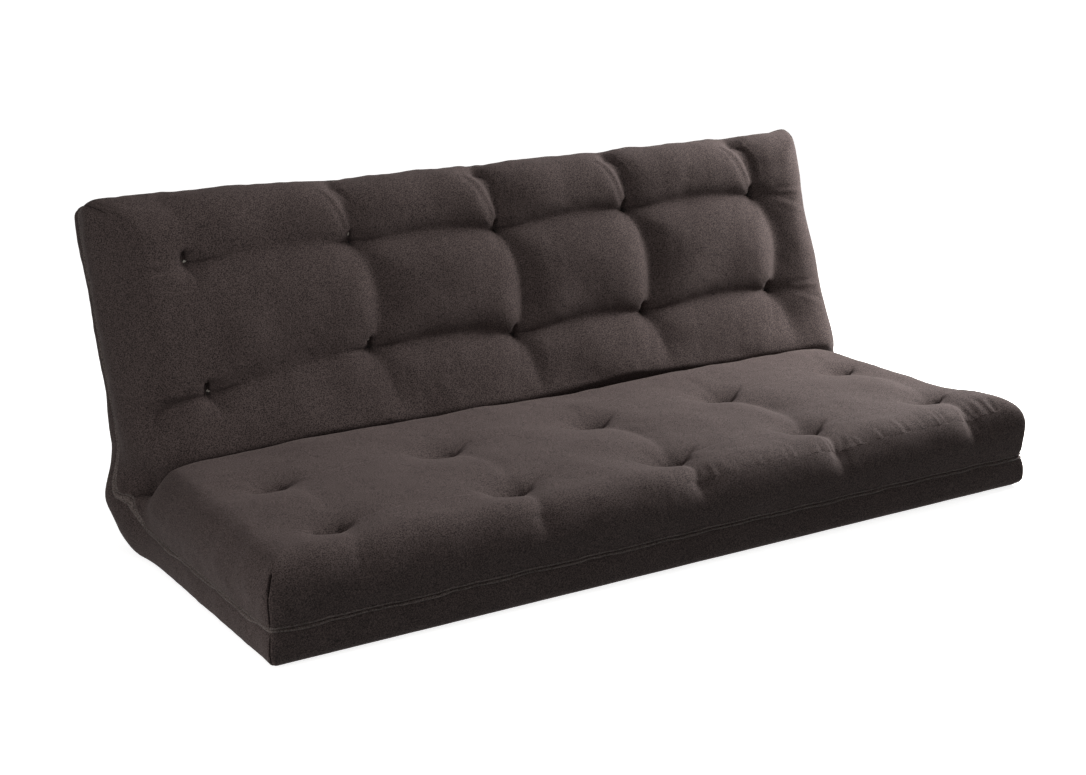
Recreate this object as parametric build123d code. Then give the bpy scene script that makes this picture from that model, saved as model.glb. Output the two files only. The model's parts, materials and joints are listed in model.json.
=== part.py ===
from build123d import *
import os
from math import atan, cos, tan

# Futon mattress, full size, folded along its cross-wise crease into a seat and a back.
# Millimetres. X runs along the sofa, Y from the seat's front edge to the rear, Z is up.
# The origin is the centre of the seat's flat underside.
# Every pad is first made in the bed position, laid flat, and the back is then raised about the fold.

# ---- Driving dimensions ----
WIDTH = 1905.0             # along the sofa, 75 in
LENGTH = 1372.0            # front edge to top edge when opened flat, 54 in
THICKNESS = 203.0          # 8 in
SEAT_LENGTH = 728.5        # front edge to fold line
BACK_LENGTH = LENGTH - SEAT_LENGTH
SITTING_ANGLE = 107.6      # between the seat's and the back's top faces at rest
FOLD_DEPTH = 43.0          # fold line below the top face
CORNER_RADIUS = 34.0       # upright corners of the casing
TOP_EDGE_RADIUS = 30.0
BOTTOM_EDGE_RADIUS = 16.0

CASING_THICKNESS = 2.5     # microfibre with its backing
SEAM_BOTTOM = 69.0         # seam line between the two halves of the casing
SEAM_TOP = 81.0
SEAM_PROUD = 0.8
LOWER_BATT_TOP = 55.0
FOAM_CORE_TOP = 148.0

TUFT_COLUMNS = (-763.5, -357.5, 28.5, 403.5, 791.5)
SEAT_TUFT_ROWS = (                 # from the seat's front edge, placed by hand and not quite in line
    (149.0, 144.0, 129.0, 139.0, 149.0),
    (448.0, 453.0, 453.0, 463.0, 478.0),
)
BACK_TUFT_ROWS = (                 # from the back's top edge
    (181.0, 171.0, 186.0, 176.0, 181.0),
    (477.0, 432.0, 457.0, 452.0, 447.0),
)
TOP_PIT_DEPTH = 34.0
TOP_PIT_MOUTH = 42.0
BOTTOM_PIT_DEPTH = 22.0
BOTTOM_PIT_MOUTH = 34.0
PIT_FLOOR_RADIUS = 6.5
TWINE_RADIUS = 1.5
TWINE_HOLE_RADIUS = 1.8
KNOT_RADIUS = 5.0
KNOT_HEIGHT = 4.0
KNOT_EDGE = 1.4

BODY_GAP = 0.25            # each body keeps this far from the fold plane
FOLD_START = 3.0           # radius at which the wedge in the fold starts

ZIP_START = -294.0         # Y of the zip's front end, on the seat's right end
ZIP_LENGTH = 458.0
ZIP_TRAVEL = 420.0
TAPE_THICKNESS = 0.8
COIL_HEIGHT = 2.2          # away from the tape
COIL_WIDTH = 2.8           # each side's coil, across the zip
ZIP_SLIT = 1.2             # between the two sides, where the slider's neck passes
STOP_LENGTH = 4.0
SLIDER_LENGTH = 12.0
SLIDER_WIDTH = 9.6
SLIDER_PLATE = 1.2
SLIDER_CLEARANCE = 0.4
CHANNEL_CLEARANCE = 1.0    # round the slider's rear plate, in the fill
CUT_REACH = 50.0           # how far a cut through the casing runs past it
SLIDER_NECK = (3.0, 0.6)   # along and across the zip
PULL_PIN_RADIUS = 0.6
PULL_BORE_RADIUS = 0.75
PULL_EYE_RADIUS = 1.8
PULL_LENGTH = 26.0
PULL_WIDTH = 7.0
PULL_THICKNESS = 1.2
PULL_NECK_REACH = 3.4      # from the pin to where the pull widens
EAR_THICKNESS = 1.0
EAR_GAP = 3.0
EAR_LENGTH = 4.0
EAR_HEIGHT = 3.6

# ---- Worked out from them ----
FOLD_Y = SEAT_LENGTH / 2
FOLD_Z = THICKNESS - FOLD_DEPTH
FOLD_AXIS = Axis((0, FOLD_Y, FOLD_Z), (1, 0, 0))
RAISE_ANGLE = 180.0 - SITTING_ANGLE
SEAM_MIDDLE = (SEAM_BOTTOM + SEAM_TOP) / 2
SEAT, BACK = -1, 1         # which side of the fold a pad lies on
PAD_LENGTH = {SEAT: SEAT_LENGTH, BACK: BACK_LENGTH}
TUFT_ROWS = {
    SEAT: [[FOLD_Y - SEAT_LENGTH + place for place in row] for row in SEAT_TUFT_ROWS],
    BACK: [[FOLD_Y + BACK_LENGTH - place for place in row] for row in BACK_TUFT_ROWS],
}


def block(x_span, y_span, z_span):
    """A box between two values on each axis."""
    size = [high - low for low, high in (x_span, y_span, z_span)]
    middle = [(high + low) / 2 for low, high in (x_span, y_span, z_span)]
    return Pos(*middle) * Box(*size)


def layer(bottom, top):
    """Everything between two heights of the bed as it lies flat."""
    return block((-WIDTH, WIDTH), (-LENGTH, LENGTH + FOLD_Y), (bottom, top))


def side_of_fold(side):
    """One side of the fold: square below the fold line, and leaning back 45 degrees above it.

    The two leaning faces meet when the back stands square to the seat.
    """
    reach = LENGTH + side * BODY_GAP
    top = 2 * THICKNESS
    corners = [
        (FOLD_Y + side * BODY_GAP, -THICKNESS),
        (FOLD_Y + side * BODY_GAP, FOLD_Z),
        (FOLD_Y + side * (BODY_GAP + top - FOLD_Z), top),
        (FOLD_Y + side * reach, top),
        (FOLD_Y + side * reach, -THICKNESS),
    ]
    outline = Plane.YZ * make_face(Polyline(*corners, close=True))
    return extrude(outline, amount=WIDTH, both=True)


def slab(side, inset):
    """One pad's rounded slab, laid flat and shrunk by inset on its outside faces."""
    depth = PAD_LENGTH[side] - inset
    body = Box(WIDTH - 2 * inset, 2 * depth, THICKNESS - 2 * inset)
    body = fillet(body.edges().filter_by(Axis.Z), CORNER_RADIUS - inset)
    body = fillet(body.faces().sort_by(Axis.Z)[-1].edges(), TOP_EDGE_RADIUS - inset)
    body = fillet(body.faces().sort_by(Axis.Z)[0].edges(), BOTTOM_EDGE_RADIUS - inset)
    return Pos(0, FOLD_Y, THICKNESS / 2) * body & side_of_fold(side)


def tuft_places(side):
    """The plan positions of one pad's ten tufts."""
    return [(x, y) for row in TUFT_ROWS[side] for x, y in zip(TUFT_COLUMNS, row)]


def tuft_pit(depth, mouth, inset):
    """The hollow that a tuft pulls into a face at height 0, opening upwards, grown by inset."""
    lean = atan((mouth - PIT_FLOOR_RADIUS) / depth)
    side_shift = inset / cos(lean)
    above = mouth / 2
    floor_radius = PIT_FLOOR_RADIUS + side_shift - inset * tan(lean)
    top_radius = mouth + side_shift + above * tan(lean)
    height = depth + inset + above
    return Pos(0, 0, height / 2 - depth - inset) * Cone(floor_radius, top_radius, height)


def tuft_pits(side, inset):
    """All of one pad's tuft hollows, on its top and its underside."""
    top_pit = tuft_pit(TOP_PIT_DEPTH, TOP_PIT_MOUTH, inset)
    bottom_pit = Rot(180, 0, 0) * tuft_pit(BOTTOM_PIT_DEPTH, BOTTOM_PIT_MOUTH, inset)
    pits = []
    for x, y in tuft_places(side):
        pits.append(Pos(x, y, THICKNESS) * top_pit)
        pits.append(Pos(x, y, 0) * bottom_pit)
    return pits


def twine_holes(side):
    """The holes that the tuft twine runs through."""
    hole = Cylinder(TWINE_HOLE_RADIUS, THICKNESS)
    return [Pos(x, y, THICKNESS / 2) * hole for x, y in tuft_places(side)]


def zip_box(x_span, z_half, start=0.0, length=ZIP_LENGTH):
    """A box along the zip, given across by its half width about the seam's middle."""
    y_start = ZIP_START + start
    z_span = (SEAM_MIDDLE - z_half, SEAM_MIDDLE + z_half)
    return block(x_span, (y_start, y_start + length), z_span)


def make_pad(side, name):
    """One pad's casing, seam band, three layers of fill, ties and knots, laid flat."""
    outside = slab(side, 0) - tuft_pits(side, 0)
    inside = slab(side, CASING_THICKNESS) - tuft_pits(side, CASING_THICKNESS)
    holes = twine_holes(side)
    casing = outside - inside - holes
    band = slab(side, -SEAM_PROUD) - slab(side, CASING_THICKNESS)
    band &= layer(SEAM_BOTTOM, SEAM_TOP)
    fill = inside - holes
    if side == SEAT:
        right_end = WIDTH / 2
        band -= zip_box((right_end - CUT_REACH, right_end + CUT_REACH), SEAM_TOP - SEAM_MIDDLE)
        channel_depth = SLIDER_CLEARANCE + SLIDER_PLATE + 2 * SLIDER_CLEARANCE
        channel_face = right_end - CASING_THICKNESS
        channel_half = SLIDER_WIDTH / 2 + CHANNEL_CLEARANCE
        fill -= zip_box((channel_face - channel_depth, channel_face), channel_half)
    nodes = {
        f"{name}_upper_casing": casing & layer(SEAM_TOP, 2 * THICKNESS),
        f"{name}_lower_casing": casing & layer(-THICKNESS, SEAM_BOTTOM),
        f"{name}_seam_band": band,
        f"{name}_upper_batt": fill & layer(FOAM_CORE_TOP, THICKNESS),
        f"{name}_foam_core": fill & layer(LOWER_BATT_TOP, FOAM_CORE_TOP),
        f"{name}_lower_batt": fill & layer(0, LOWER_BATT_TOP),
    }
    nodes.update(make_ties(side, name))
    return nodes


def make_ties(side, name):
    """The twine through each tuft, and the knots that hold it on both faces."""
    tie_bottom = BOTTOM_PIT_DEPTH
    tie_top = THICKNESS - TOP_PIT_DEPTH
    tie = Cylinder(TWINE_RADIUS, tie_top - tie_bottom)
    knot = Cylinder(KNOT_RADIUS, KNOT_HEIGHT)
    knot = fillet(knot.edges(), KNOT_EDGE)
    nodes = {}
    upper_knots = []
    lower_knots = []
    for number, (x, y) in enumerate(tuft_places(side), start=1):
        nodes[f"{name}_tie_{number:02d}"] = Pos(x, y, (tie_bottom + tie_top) / 2) * tie
        upper_knots.append(Pos(x, y, tie_top + KNOT_HEIGHT / 2) * knot)
        lower_knots.append(Pos(x, y, tie_bottom - KNOT_HEIGHT / 2) * knot)
    nodes[f"{name}_upper_knots"] = Compound(upper_knots)
    nodes[f"{name}_lower_knots"] = Compound(lower_knots)
    return nodes


def end_section(inset):
    """The mattress's cross-section below the fold line, on the fold plane."""
    outline = Rectangle(WIDTH - 2 * inset, THICKNESS - 2 * inset)
    bottom_corners = outline.vertices().group_by(Axis.Y)[0]
    outline = fillet(bottom_corners, BOTTOM_EDGE_RADIUS - inset)
    outline = Pos(0, THICKNESS / 2) * outline
    return outline & Pos(0, (FOLD_Z - FOLD_START) / 2) * Rectangle(WIDTH, FOLD_Z - FOLD_START)


def make_fold():
    """The casing, band and fill that bend round the fold, between the two pads."""
    outer = end_section(0)
    inner = end_section(CASING_THICKNESS)
    skin = outer - inner
    band_half = (SEAM_TOP - SEAM_BOTTOM) / 2
    band_zone = Pos(0, SEAM_MIDDLE) * Rectangle(2 * WIDTH, 2 * band_half)
    below = Pos(0, SEAM_BOTTOM / 2) * Rectangle(2 * WIDTH, SEAM_BOTTOM)
    above = Pos(0, SEAM_TOP + FOLD_Z / 2) * Rectangle(2 * WIDTH, FOLD_Z)
    wide = Pos(0, SEAM_MIDDLE) * Rectangle(WIDTH + 2 * SEAM_PROUD, 2 * band_half)
    sections = {
        "fold_lower_casing": skin & below,
        "fold_upper_casing": skin & above,
        "fold_seam_band": (wide - inner) & band_zone,
        "fold_fill": inner,
    }
    on_fold_plane = Plane((0, FOLD_Y, 0), x_dir=(1, 0, 0), z_dir=(0, -1, 0))
    nodes = {}
    for name, section in sections.items():
        faces = [on_fold_plane * face for face in section.faces()]
        solids = [revolve(face, FOLD_AXIS, RAISE_ANGLE) for face in faces]
        nodes[name] = Compound(solids) if len(solids) > 1 else solids[0]
    return nodes


def make_zip():
    """The zip on the seat's right end, with its slider and pull."""
    face = WIDTH / 2
    tape_back = face - CASING_THICKNESS
    tape_front = tape_back + TAPE_THICKNESS
    coil_front = tape_front + COIL_HEIGHT
    band_half = (SEAM_TOP - SEAM_BOTTOM) / 2
    slit_half = ZIP_SLIT / 2
    coil_half = slit_half + COIL_WIDTH
    slit = zip_box((face - CUT_REACH, face + CUT_REACH), slit_half)
    tapes = zip_box((tape_back, tape_front), band_half) - slit
    coil_length = ZIP_LENGTH - 2 * STOP_LENGTH
    coils = zip_box((tape_front, coil_front), coil_half, STOP_LENGTH, coil_length) - slit
    stop_half = coil_half + SLIDER_CLEARANCE
    stop_span = (tape_front, coil_front + SLIDER_CLEARANCE)
    lower_tape, upper_tape = tapes.solids().sort_by(Axis.Z)
    lower_coil, upper_coil = coils.solids().sort_by(Axis.Z)
    nodes = {
        "zip_upper_tape": upper_tape,
        "zip_lower_tape": lower_tape,
        "zip_upper_coil": upper_coil,
        "zip_lower_coil": lower_coil,
        "zip_front_stop": zip_box(stop_span, stop_half, 0.0, STOP_LENGTH),
        "zip_rear_stop": zip_box(stop_span, stop_half, ZIP_LENGTH - STOP_LENGTH, STOP_LENGTH),
    }

    # The slider wraps the coils in two plates, joined by a neck in the slit.
    slider_start = STOP_LENGTH + 2 * SLIDER_CLEARANCE
    half = SLIDER_WIDTH / 2
    front_back = coil_front + SLIDER_CLEARANCE
    front_face = front_back + SLIDER_PLATE
    rear_front = tape_back - SLIDER_CLEARANCE
    flange_back = tape_front + SLIDER_CLEARANCE
    cap = zip_box((flange_back, front_face), half, slider_start, SLIDER_LENGTH)
    cap -= zip_box((flange_back, front_back), coil_half + SLIDER_CLEARANCE, slider_start, SLIDER_LENGTH)
    rear = zip_box((rear_front - SLIDER_PLATE, rear_front), half, slider_start, SLIDER_LENGTH)
    neck_length, neck_width = SLIDER_NECK
    neck = zip_box((rear_front, front_back), neck_width / 2, slider_start, neck_length)
    slider = cap + rear + neck

    # Two ears and a pin carry the pull.
    pin_y = ZIP_START + slider_start + SLIDER_LENGTH / 2
    pin_x = front_face + PULL_EYE_RADIUS + SLIDER_CLEARANCE
    ear_start = slider_start + SLIDER_LENGTH / 2 - EAR_LENGTH / 2
    ears = zip_box((front_face, front_face + EAR_HEIGHT), EAR_GAP / 2 + EAR_THICKNESS, ear_start, EAR_LENGTH)
    ears -= zip_box((front_face, front_face + EAR_HEIGHT), EAR_GAP / 2, ear_start, EAR_LENGTH)
    pin = Pos(pin_x, pin_y, SEAM_MIDDLE) * Cylinder(PULL_PIN_RADIUS, EAR_GAP)
    nodes["zip_slider"] = slider + ears + pin

    eye_width = EAR_GAP - 2 * SLIDER_CLEARANCE
    eye = Cylinder(PULL_EYE_RADIUS, eye_width)
    half_thick = PULL_THICKNESS / 2
    neck = block((-half_thick, half_thick), (0, PULL_NECK_REACH), (-eye_width / 2, eye_width / 2))
    tab = block(
        (-half_thick, half_thick),
        (PULL_NECK_REACH, PULL_LENGTH),
        (-PULL_WIDTH / 2, PULL_WIDTH / 2),
    )
    tab = fillet(tab.edges().filter_by(Axis.X), PULL_WIDTH / 4)
    pull = eye + neck + tab - Cylinder(PULL_BORE_RADIUS, EAR_GAP)
    nodes["zip_pull"] = Pos(pin_x, pin_y, SEAM_MIDDLE) * pull
    return nodes


def raise_back(shape):
    """Turn a piece of the back from the bed position to the sitting position."""
    return shape.rotate(FOLD_AXIS, RAISE_ANGLE)


parts = make_pad(SEAT, "seat")
parts.update(make_fold())
parts.update(make_zip())
for node, shape in make_pad(BACK, "back").items():
    parts[node] = raise_back(shape)

os.makedirs("parts", exist_ok=True)
for node, shape in parts.items():
    export_step(shape, f"parts/{node}.step")
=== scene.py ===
import json
from math import cos, pi, radians, sin, tan

import bpy
import numpy as np
from mathutils import Matrix, Vector


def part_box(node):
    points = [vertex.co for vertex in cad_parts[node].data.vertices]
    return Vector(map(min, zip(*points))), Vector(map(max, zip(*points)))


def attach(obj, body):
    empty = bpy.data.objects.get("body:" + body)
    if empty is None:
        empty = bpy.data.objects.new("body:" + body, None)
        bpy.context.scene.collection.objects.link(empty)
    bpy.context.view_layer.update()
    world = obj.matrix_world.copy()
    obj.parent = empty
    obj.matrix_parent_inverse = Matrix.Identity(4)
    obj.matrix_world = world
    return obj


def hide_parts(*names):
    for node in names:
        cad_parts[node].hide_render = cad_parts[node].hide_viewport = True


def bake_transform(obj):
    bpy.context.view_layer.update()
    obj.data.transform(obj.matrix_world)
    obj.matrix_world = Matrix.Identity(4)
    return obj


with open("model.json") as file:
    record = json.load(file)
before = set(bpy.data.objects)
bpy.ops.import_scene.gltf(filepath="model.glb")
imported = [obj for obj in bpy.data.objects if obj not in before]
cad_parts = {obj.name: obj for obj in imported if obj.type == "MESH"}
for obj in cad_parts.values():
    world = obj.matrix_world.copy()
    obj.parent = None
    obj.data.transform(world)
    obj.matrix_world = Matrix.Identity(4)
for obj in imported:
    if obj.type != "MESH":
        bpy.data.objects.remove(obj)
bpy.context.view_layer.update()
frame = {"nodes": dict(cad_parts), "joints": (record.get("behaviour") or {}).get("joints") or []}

# ---------------------------------------------------------------- viewpoint
# The mattress is seen from its front left, from a little above the top of its back.

eye = Vector((-2.0705, -3.3093, 1.357))
eye_turn = radians(30.26)        # from straight ahead, towards the right end
eye_dip = radians(14.9)
eye_roll = radians(-1.67)
forward = Vector((sin(eye_turn) * cos(eye_dip), cos(eye_turn) * cos(eye_dip), -sin(eye_dip)))
level_right = Vector((cos(eye_turn), -sin(eye_turn), 0.0))
level_up = level_right.cross(forward)
right = level_right * cos(eye_roll) + level_up * sin(eye_roll)
up = level_up * cos(eye_roll) - level_right * sin(eye_roll)
camera = bpy.data.objects.new("camera", bpy.data.cameras.new("camera"))
bpy.context.scene.collection.objects.link(camera)
camera.matrix_world = Matrix.Translation(eye) @ Matrix((right, up, -forward)).transposed().to_4x4()
camera.data.sensor_width = 36.0
camera.data.lens = 59.66
camera.data.clip_end = 200.0
bpy.context.scene.camera = camera


# ---------------------------------------------------------------- the bag's form
# A full-size futon mattress is one soft bag, boxed all round, which folds across its middle into a
# seat and a back. It is worked out as it lies flat, as x along the sofa, s from the fold line towards
# the back's top edge (negative on the seat) and h above the underside, and then folded.

fold = frame["joints"][0]
fold_y, fold_z = fold["pos_m"][1:]
raised = radians(-fold["range_deg"][0])          # how far the back stands up from the bed position
half_raised = raised / 2
half_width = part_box("seat_upper_casing")[1][0]
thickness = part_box("seat_upper_casing")[1][2]
seat_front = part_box("seat_upper_casing")[0][1] - fold_y
seam_height = (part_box("seat_lower_casing")[1][2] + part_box("seat_upper_casing")[0][2]) / 2
fold_depth = thickness - fold_z
back_points = np.array([v.co for v in frame["nodes"]["back_lower_casing"].data.vertices])
back_top = ((back_points[:, 1] - fold_y) * cos(raised) + (back_points[:, 2] - fold_z) * sin(raised)).max()


def tie_place(node):
    """A tie's x and s: the middle of its box, turned back down about the fold if it is in the back."""
    low, high = (np.array(corner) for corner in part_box(node))
    x, y, z = (low + high) / 2
    if node.startswith("seat"):
        return x, y - fold_y
    return x, (y - fold_y) * cos(raised) + (z - fold_z) * sin(raised)


seat_tufts = np.array([tie_place(f"seat_tie_{number:02d}") for number in range(1, 11)])
back_tufts = np.array([tie_place(f"back_tie_{number:02d}") for number in range(1, 11)])
seat_fronts, seat_rears = seat_tufts[:5], seat_tufts[5:]
back_uppers, back_lowers = back_tufts[:5], back_tufts[5:]
columns = seat_fronts[:, 0]

top_edge_radius = 0.076
bottom_edge_radius = 0.020
corner_squareness = 9.0          # 2 would be a round upright corner, more is squarer
fold_zone = 0.11                 # the stretch each side of the fold line that bends into the crease
shoulder_radius = 0.045
crease_floor = 0.004             # what is left below the crease, above the fold line
least_gape = 0.0014              # between the two sides of the crease


def smooth(value):
    """0 below 0 and 1 above 1, with an S-shaped rise between them."""
    value = np.clip(value, 0.0, 1.0)
    return value * value * (3.0 - 2.0 * value)


def hump(value, width):
    """A bell curve: 1 where the value is 0, and 0.37 one width away."""
    return np.exp(-((value / width) ** 2))


def fold_up(x, s, h):
    """Folds points of the bag as it lies flat into the sitting position, and puts them in the row frame.

    Each half is worked out as the seat's: beyond the fold zone, y is minus the distance t from the fold
    line and z is h. Inside it the top face runs level, round a shoulder and down the crease to the
    fold, the underside runs level and then round an arc about the fold, and a point between
    them is at its share of the way up the straight rib that joins the two. The back's half is that
    shape mirrored in the plane that halves the angle between seat and back. The two halves stay a
    little apart, more where the crease gapes.
    """
    gape = least_gape + 0.0105 * hump(x - 0.30, 0.19) + 0.0025 * hump(x + 0.45, 0.15)
    t = np.abs(s)
    share = np.clip(t / fold_zone, 0.0, 1.0)
    ease = share * (2.0 - share)
    slope = pi / 2 - half_raised                     # how far the shoulder turns
    shoulder = shoulder_radius * tan(slope / 2)
    wall = fold_depth / cos(half_raised) - shoulder - crease_floor
    corner = fold_depth * tan(half_raised)
    level = fold_zone - corner - shoulder
    along = t + (wall + shoulder_radius * slope + level - fold_zone) * ease
    turn = np.clip((wall + shoulder_radius * slope - along) / shoulder_radius, 0.0, slope)
    run = np.clip(along - wall - shoulder_radius * slope, 0.0, None)
    sink = np.clip(wall - along, 0.0, None)
    top_y = -(corner + shoulder) - run + shoulder_radius * np.sin(turn)
    top_y += sink * cos(slope)
    top_z = fold_depth - shoulder_radius * (1.0 - np.cos(turn)) - sink * sin(slope)
    top_ny = np.sin(turn)
    top_nz = np.cos(turn)

    radius = thickness - fold_depth
    beneath = t + radius * half_raised * ease
    angle = np.clip(half_raised - beneath / radius, 0.0, None)
    flat = np.clip(beneath - radius * half_raised, 0.0, None)
    bottom_y = radius * np.sin(angle) - flat
    bottom_z = -radius * np.cos(angle)

    rise = np.clip(h / thickness, 0.0, 1.0)
    over = np.clip(h - thickness, 0.0, None)
    under = np.clip(-h, 0.0, None)
    y = bottom_y + (top_y - bottom_y) * rise + over * top_ny + under * np.sin(angle)
    z = bottom_z + (top_z - bottom_z) * rise + over * top_nz - under * np.cos(angle)
    past = np.clip(y * cos(half_raised) + z * sin(half_raised) + gape, 0.0, None)
    y = y - past * cos(half_raised)
    z = z - past * sin(half_raised)
    across = 2.0 * (y * cos(half_raised) + z * sin(half_raised))
    is_back = s > 0
    y = np.where(is_back, y - across * cos(half_raised), y)
    z = np.where(is_back, z - across * sin(half_raised), z)
    return np.stack([x, y + fold_y, z + fold_z], axis=-1)


# ---------------------------------------------------------------- how the tufts pull the bag in
# Twine through all the layers is drawn tight at twenty tufts. The cloth is pulled down there and in
# creases from tuft to tuft, and the fill stands up in puffs between them.


def graded(low, high, centres, fine, coarse, reach):
    """Grid lines from low to high, coarse apart, closing to fine apart within reach of each centre."""
    line = np.linspace(low, high, 6001)
    near = np.exp(-(((line[:, None] - np.asarray(centres)) / reach) ** 2)).max(axis=1)
    per_metre = 1.0 / (coarse - (coarse - fine) * near)
    count = np.concatenate([[0.0], np.cumsum((per_metre[1:] + per_metre[:-1]) / 2 * np.diff(line))])
    cells = 2 * int(round(count[-1] / 2))
    return np.interp(np.linspace(0.0, count[-1], cells + 1), count, line)


x_lines = graded(-half_width, half_width, [-half_width, *columns, half_width], 0.0030, 0.0062, 0.030)
s_lines = graded(
    seat_front, back_top,
    [seat_front, *seat_tufts[:, 1], 0.0, *back_tufts[:, 1], back_top], 0.0030, 0.0060, 0.028,
)
s_lines[np.abs(s_lines).argmin()] = 0.0
beside_corner = np.array([0.001, 0.002])             # extra lines, for the seams at the upright corners
x_lines = np.sort(np.concatenate([x_lines, half_width - beside_corner, beside_corner - half_width]))
s_lines = np.sort(np.concatenate([s_lines, seat_front + beside_corner, back_top - beside_corner]))
x_grid, s_grid = np.meshgrid(x_lines, s_lines, indexing="ij")
all_tufts = np.concatenate([seat_tufts, back_tufts])
hollows = np.zeros(x_grid.shape)         # the depth of all that is pulled in, to the power blend_power
pleats = np.zeros(x_grid.shape)          # fine folds, up or down
blend_power = 3.0                        # the higher, the more the deepest crease wins


def curve(start, via, end, steps=25):
    """Points along the quadratic curve that leaves start towards via and comes to end."""
    t = np.linspace(0.0, 1.0, steps)[:, None]
    return (1 - t) ** 2 * np.array(start) + 2 * t * (1 - t) * np.array(via) + t**2 * np.array(end)


def at_tuft(x, s):
    """A very short line across a tuft, for the dimple round it."""
    return curve((x - 0.004, s), (x, s), (x + 0.004, s))


def lattice_part(low, high):
    """The slices of the lattice between two corners, each an x and an s."""
    along_x = slice(*np.searchsorted(x_lines, [low[0], high[0]]))
    along_s = slice(*np.searchsorted(s_lines, [low[1], high[1]]))
    return along_x, along_s


def beside(line, reach):
    """The part of the lattice within reach of a line of points, and for each of its points the distance
    from the line, positive on its left side, and how far along the line it is, from 0 to 1."""
    part = lattice_part(line.min(axis=0) - reach, line.max(axis=0) + reach)
    x, s = x_grid[part][..., None], s_grid[part][..., None]
    start, step = line[:-1], np.diff(line, axis=0)
    length = np.hypot(step[:, 0], step[:, 1])
    share = np.clip(((x - start[:, 0]) * step[:, 0] + (s - start[:, 1]) * step[:, 1]) / length**2, 0.0, 1.0)
    off_x = x - start[:, 0] - share * step[:, 0]
    off_s = s - start[:, 1] - share * step[:, 1]
    distance = np.hypot(off_x, off_s)
    nearest = distance.argmin(axis=-1)[..., None]
    side = step[:, 0] * off_s - step[:, 1] * off_x
    passed = np.concatenate([[0.0], np.cumsum(length)])
    along = (passed[:-1] + share * length) / passed[-1]
    pick = [np.take_along_axis(values, nearest, axis=-1)[..., 0] for values in (distance, side, along)]
    return part, np.where(pick[1] < 0, -pick[0], pick[0]), pick[2]


sharpest_bottom = 0.0012                 # how round the bottom of the sharpest crease is


def gather(line, depth, left, right, fall=0.0, round_out=0.0):
    """Pulls the cloth in along a line, to depth, falling off with distance: by 63 percent at left or
    right, on the line's two sides. The depth goes out over the line's last share fall. The bottom is
    sharp at the line's ends, and rounded out by up to round_out at its middle."""
    part, distance, along = beside(line, 6 * max(left, right))
    reach = np.where(distance > 0, left, right)
    kept = 1 - smooth((along - (1 - fall)) / max(fall, 1e-6)) * (fall > 0)
    bottom = sharpest_bottom + round_out * np.sin(pi * along) ** 0.7
    soft = np.sqrt(distance**2 + bottom**2) - bottom
    hollows[part] += (depth * kept * np.exp(-soft / reach)) ** blend_power


def pleat(line, height, width, rise=0.25, fall=0.25):
    """Raises a fine fold along a line, with a valley on its left side."""
    part, distance, along = beside(line, 5 * width)
    kept = smooth(along / rise) * (1 - smooth((along - (1 - fall)) / max(fall, 1e-6)))
    pleats[part] += height * kept * (hump(distance, width) - hump(distance - 1.7 * width, width))


# The seat, from its left end to its right: how deep its tufts are, what share of that the limbs of
# their creases have, and how strong the creases between its two rows are.
seat_depth = np.array([0.038, 0.042, 0.043, 0.042, 0.034])
limb_share = (0.45, 0.75, 0.9, 1.0, 0.9)
seat_strength = (0.35, 0.6, 0.85, 1.0, 0.8)
steep, gentle = 0.013, 0.036             # the two sides of a limb
for row in (seat_fronts, seat_rears):
    for number, (x, s) in enumerate(row):
        deep = seat_depth[number]
        gather(at_tuft(x, s), 0.8 * deep, 0.062, 0.044)
        slit = curve((x - 0.024, s + 0.001), (x, s - 0.006), (x + 0.026, s + 0.003))
        gather(slit, 1.2 * deep, 0.010, 0.019)
        # A smile: two limbs that run out along the row and bend to the rear.
        limb_depth = 0.9 * deep * limb_share[number]
        left_limb = curve((x, s), (x - 0.04, s + 0.004), (x - 0.095, s + 0.050))
        right_limb = curve((x, s), (x + 0.05, s + 0.002), (x + 0.130, s + 0.050))
        gather(left_limb, limb_depth, steep, gentle, fall=0.95)
        gather(right_limb, limb_depth, gentle, steep, fall=0.95)
for number in range(5):
    (x, s), (rear_x, rear_s) = seat_fronts[number], seat_rears[number]
    strength = seat_strength[number]
    gutter = curve((rear_x, rear_s), (x + 0.115, (s + rear_s) / 2 + 0.03), (x, s))
    gather(gutter, 0.022 * strength, 0.070, 0.028, fall=0.12, round_out=0.012)
    over_edge = curve((x, s), (x + 0.045, s - 0.05), (x - 0.002, seat_front - 0.02))
    gather(over_edge, 0.022 * strength, 0.050, 0.024, round_out=0.006)
    if number > 1:
        for aside, high in ((-0.016, 0.6), (0.004, 1.0), (0.026, 0.7)):
            start = (x + 0.030 + 0.5 * aside, s - 0.045)
            fine_fold = curve(start, (x + 0.045 + aside, s - 0.06), (x + 0.004 + 1.6 * aside, seat_front))
            pleat(fine_fold, 0.0009 * high * strength, 0.0065, rise=0.6, fall=0.05)
    behind = curve((rear_x, rear_s), (rear_x + 0.03, rear_s + 0.08), (rear_x + 0.01, -0.04))
    gather(behind, 0.013 * strength, 0.06, 0.035, fall=0.6, round_out=0.01)

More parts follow.
